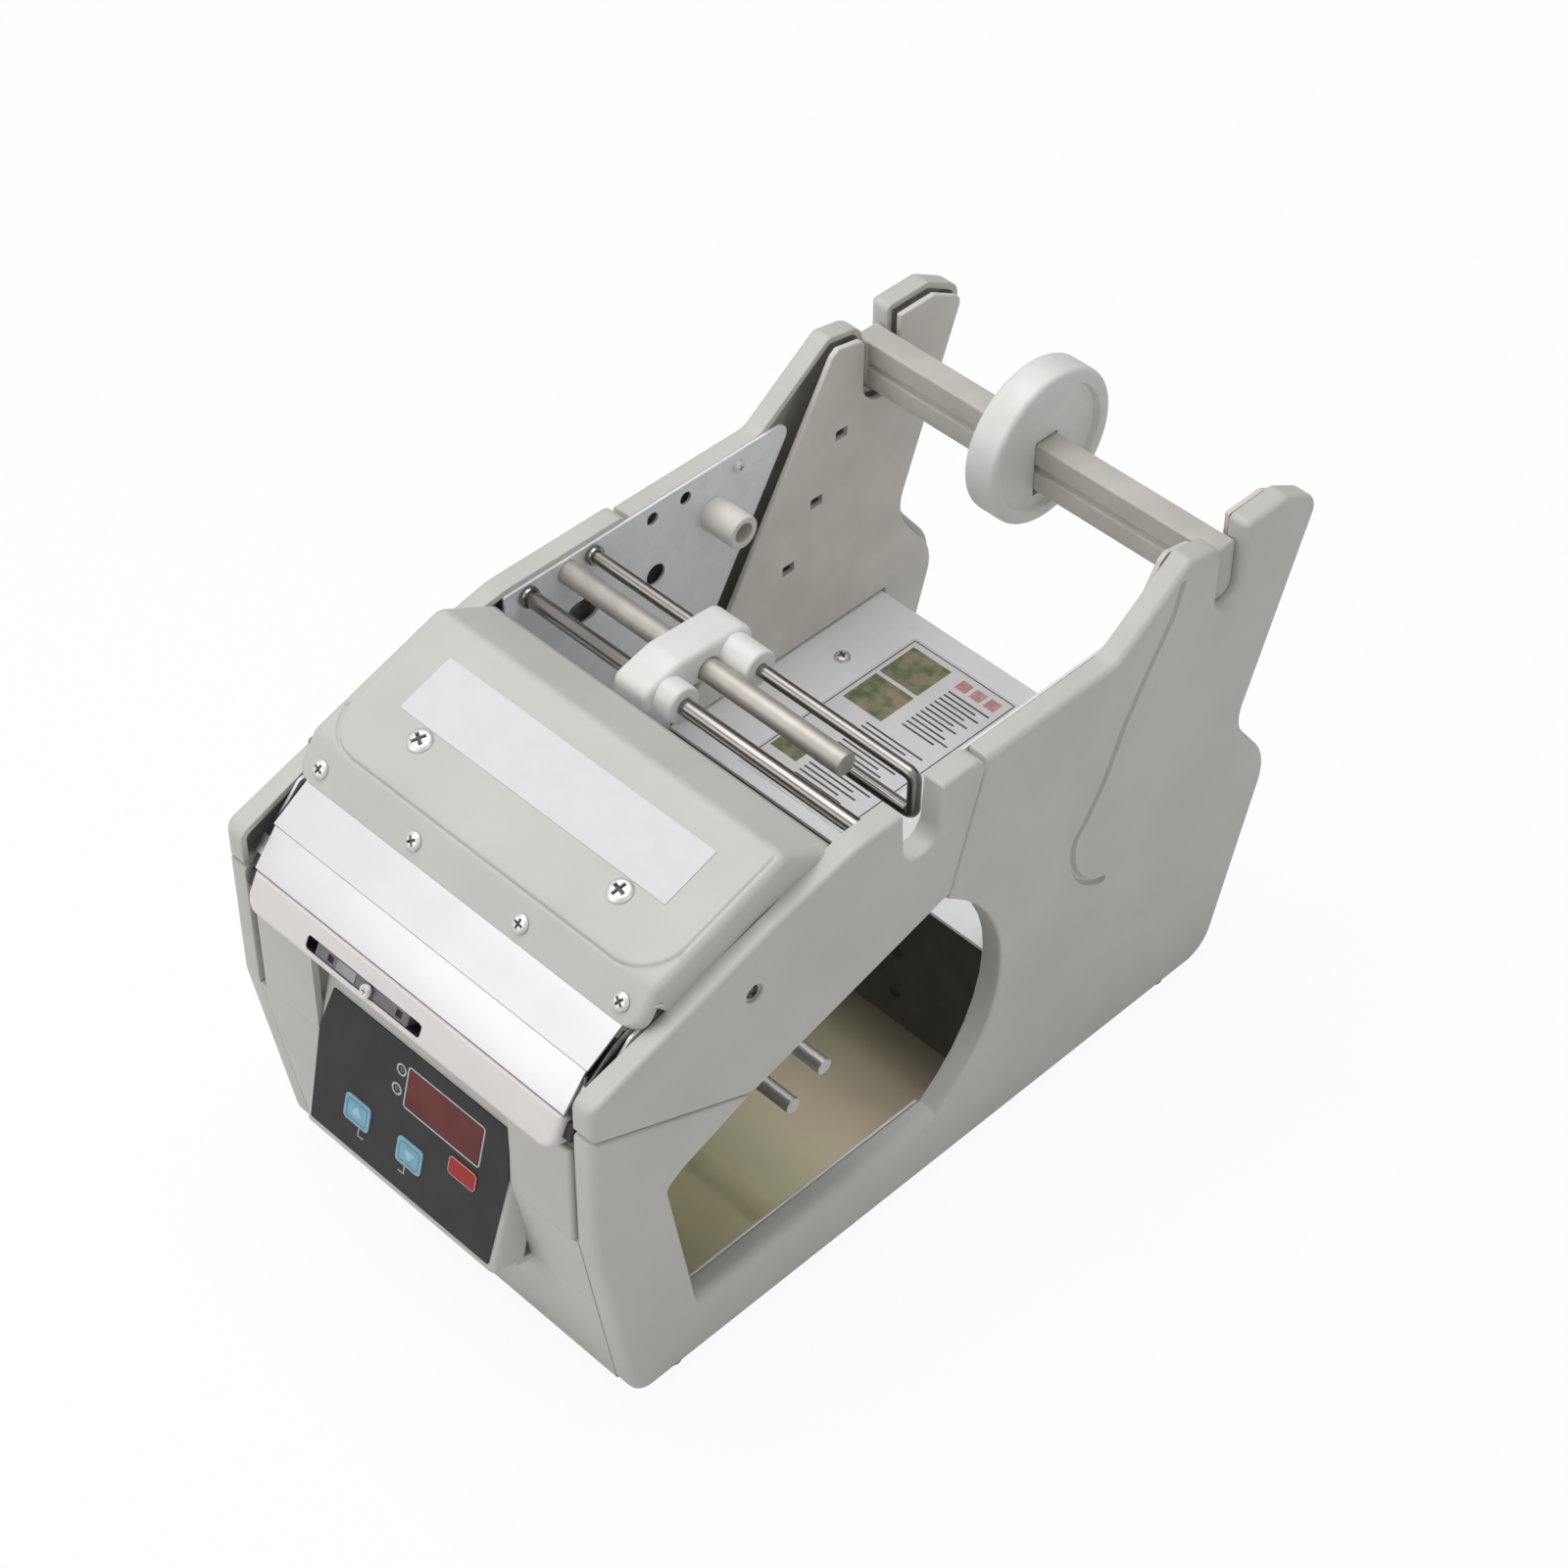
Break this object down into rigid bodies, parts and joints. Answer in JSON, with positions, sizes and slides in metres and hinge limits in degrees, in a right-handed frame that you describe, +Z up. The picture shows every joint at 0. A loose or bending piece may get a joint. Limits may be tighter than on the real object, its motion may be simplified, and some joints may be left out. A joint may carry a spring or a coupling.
{
  "type": "label dispenser machine",
  "caption": "Free-standing electric label dispenser: two moulded sides with rear arms for a lift-off roll bar, guide rods, deck cover, peel edge with sliding sensor and leaning display.",
  "frame": {"origin": "under the middle of the machine, on the surface that its rubber feet stand on", "axes": "+Z up; -Y towards the user, out of the display and peel edge; +X to the user's right, along the rods and the roll bar"},
  "size_m": [0.2, 0.3954, 0.2634],
  "materials": {
    "moulded_case": "satin",
    "bare_label": "matt",
    "bright_screws": "bright",
    "polished_steel": "polished",
    "chromed_rod": "bright",
    "galvanised_sheet": "satin",
    "zinc_floor": "satin",
    "plated_steel": "satin",
    "lip_aluminium": "satin",
    "black_plastic": "satin",
    "overlay_film": "satin",
    "red_window": "gloss",
    "lamp_red": "gloss",
    "blue_key": "satin",
    "red_key": "satin",
    "circuit_board": "satin",
    "liner_plastic": "satin",
    "white_nylon": "satin",
    "bar_aluminium": "satin",
    "roller_rubber": "matt",
    "bronze_bush": "satin",
    "foot_rubber": "matt"
  },
  "bodies": {
    "machine": {"side_panel_left": "moulded_case", "side_panel_right": "moulded_case", "head_cover_left": "moulded_case", "head_cover_right": "moulded_case", "deck_cover": "moulded_case", "name_label": "bare_label", "deck_screws_small": "bright_screws", "deck_screws_large": "bright_screws", "head_bar": "plated_steel", "web_plate": "galvanised_sheet", "deck_rod": "chromed_rod", "peel_plate": "polished_steel", "peel_strip": "polished_steel", "peel_bar": "plated_steel", "peel_wire": "polished_steel", "sensor_beam": "lip_aluminium", "front_panel": "moulded_case", "display_overlay": "overlay_film", "display_window": "red_window", "mode_leds": "lamp_red", "digit_display": "black_plastic", "control_board": "circuit_board", "floor_plate": "zinc_floor", "rear_housing": "galvanised_sheet", "rear_panel": "galvanised_sheet", "instruction_sticker": "bare_label", "rear_plate_screws": "bright_screws", "frame_plate_left": "galvanised_sheet", "frame_plate_right": "galvanised_sheet", "arm_liner_left": "liner_plastic", "arm_liner_right": "liner_plastic", "tube_boss": "plated_steel", "side_screws": "bright_screws", "front_rod": "chromed_rod", "guide_rod": "plated_steel", "roller_bushes": "bronze_bush", "motor": "plated_steel", "motor_bracket": "galvanised_sheet", "drive_belt": "roller_rubber", "rewind_belt": "roller_rubber", "power_board": "circuit_board", "power_inlet": "black_plastic", "switch_body": "black_plastic", "feet": "foot_rubber"},
    "roll_bar": {"roll_shaft": "bar_aluminium"},
    "disc": {"roll_disc": "white_nylon"},
    "guide": {"paper_guide": "white_nylon"},
    "sensor": {"label_sensor": "black_plastic", "sensor_screw": "bright_screws"},
    "bail": {"wire_bail": "chromed_rod"},
    "key_up": {"up_key": "blue_key"},
    "key_down": {"down_key": "blue_key"},
    "key_reset": {"reset_key": "red_key"},
    "roller": {"drive_roller": "roller_rubber", "drive_pulley": "white_nylon"},
    "pinch": {"pinch_roller": "plated_steel"},
    "motor_rotor": {"motor_pulley": "white_nylon"},
    "rewinder": {"rewind_fork": "plated_steel", "rewind_pulley": "white_nylon"},
    "rocker": {"switch_rocker": "black_plastic"}
  },
  "joints": [
    {"name": "roll_bar_lift", "type": "slide", "parent": "machine", "child": "roll_bar", "axis": [0, 0, 1], "range_m": [0, 0.05]},
    {"name": "disc_slide", "type": "slide", "parent": "roll_bar", "child": "disc", "axis": [1, 0, 0], "range_m": [-0.075, 0.075]},
    {"name": "guide_slide", "type": "slide", "parent": "machine", "child": "guide", "axis": [1, 0, 0], "range_m": [-0.05, 0.07]},
    {"name": "sensor_slide", "type": "slide", "parent": "machine", "child": "sensor", "axis": [1, 0, 0], "range_m": [-0.004, 0.006]},
    {"name": "bail_swing", "type": "hinge", "parent": "machine", "child": "bail", "pos_m": [0, -0.00946, 0.2105], "axis": [1, 0, 0], "range_deg": [-10, 20]},
    {"name": "up_key_press", "type": "slide", "parent": "machine", "child": "key_up", "axis": [0, 0.9681, -0.2504], "range_m": [0, 0.0006], "stiffness_N_per_m": 400, "springref_m": -0.0005},
    {"name": "down_key_press", "type": "slide", "parent": "machine", "child": "key_down", "axis": [0, 0.9681, -0.2504], "range_m": [0, 0.0006], "stiffness_N_per_m": 400, "springref_m": -0.0005},
    {"name": "reset_key_press", "type": "slide", "parent": "machine", "child": "key_reset", "axis": [0, 0.9681, -0.2504], "range_m": [0, 0.0006], "stiffness_N_per_m": 400, "springref_m": -0.0005},
    {"name": "roller_spin", "type": "hinge", "parent": "machine", "child": "roller", "pos_m": [0, -0.15446, 0.1545], "axis": [1, 0, 0], "continuous": true},
    {"name": "pinch_spin", "type": "hinge", "parent": "machine", "child": "pinch", "pos_m": [0, -0.15446, 0.133], "axis": [1, 0, 0], "continuous": true},
    {"name": "motor_spin", "type": "hinge", "parent": "machine", "child": "motor_rotor", "pos_m": [0, -0.10646, 0.1625], "axis": [1, 0, 0], "continuous": true},
    {"name": "rewind_spin", "type": "hinge", "parent": "machine", "child": "rewinder", "pos_m": [0, -0.05846, 0.0755], "axis": [1, 0, 0], "continuous": true},
    {"name": "switch_rock", "type": "hinge", "parent": "machine", "child": "rocker", "pos_m": [0.04, 0.15004, 0.0525], "axis": [1, 0, 0], "range_deg": [-16, 0]}
  ],
  "couplings": [
    {"joint": "pinch_spin", "follows": "roller_spin", "ratio": -1.3333},
    {"joint": "motor_spin", "follows": "roller_spin", "ratio": 1.5714},
    {"joint": "rewind_spin", "follows": "roller_spin", "ratio": 0.7857}
  ]
}
